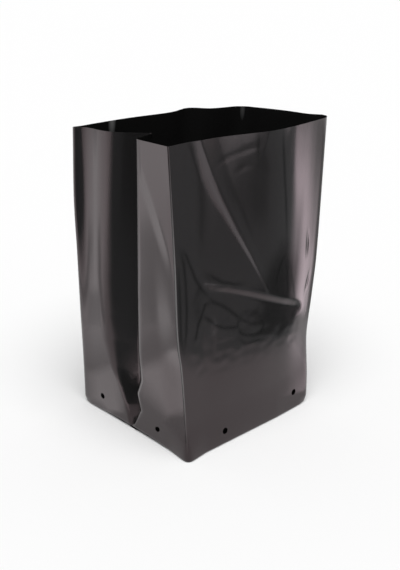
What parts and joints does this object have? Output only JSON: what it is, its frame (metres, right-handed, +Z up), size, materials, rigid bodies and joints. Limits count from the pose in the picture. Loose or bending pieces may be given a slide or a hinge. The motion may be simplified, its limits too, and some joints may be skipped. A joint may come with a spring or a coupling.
{
  "type": "nursery plant bag",
  "caption": "Black gusseted film plant bag, opened out and standing empty on its folded base, with drain holes round the foot and an open cut mouth for soil and a young plant.",
  "frame": {"origin": "on the ground, under the middle of the base, on the underside of the sealed skirt", "axes": "+Z up through the mouth, -Y out of the creased front face, -X out of the half-tucked gusset"},
  "size_m": [0.1935, 0.1626, 0.2799],
  "materials": {
    "film": "glossy blown film, softly creased"
  },
  "bodies": {
    "root": {"film_bag": "film"}
  },
  "joints": []
}
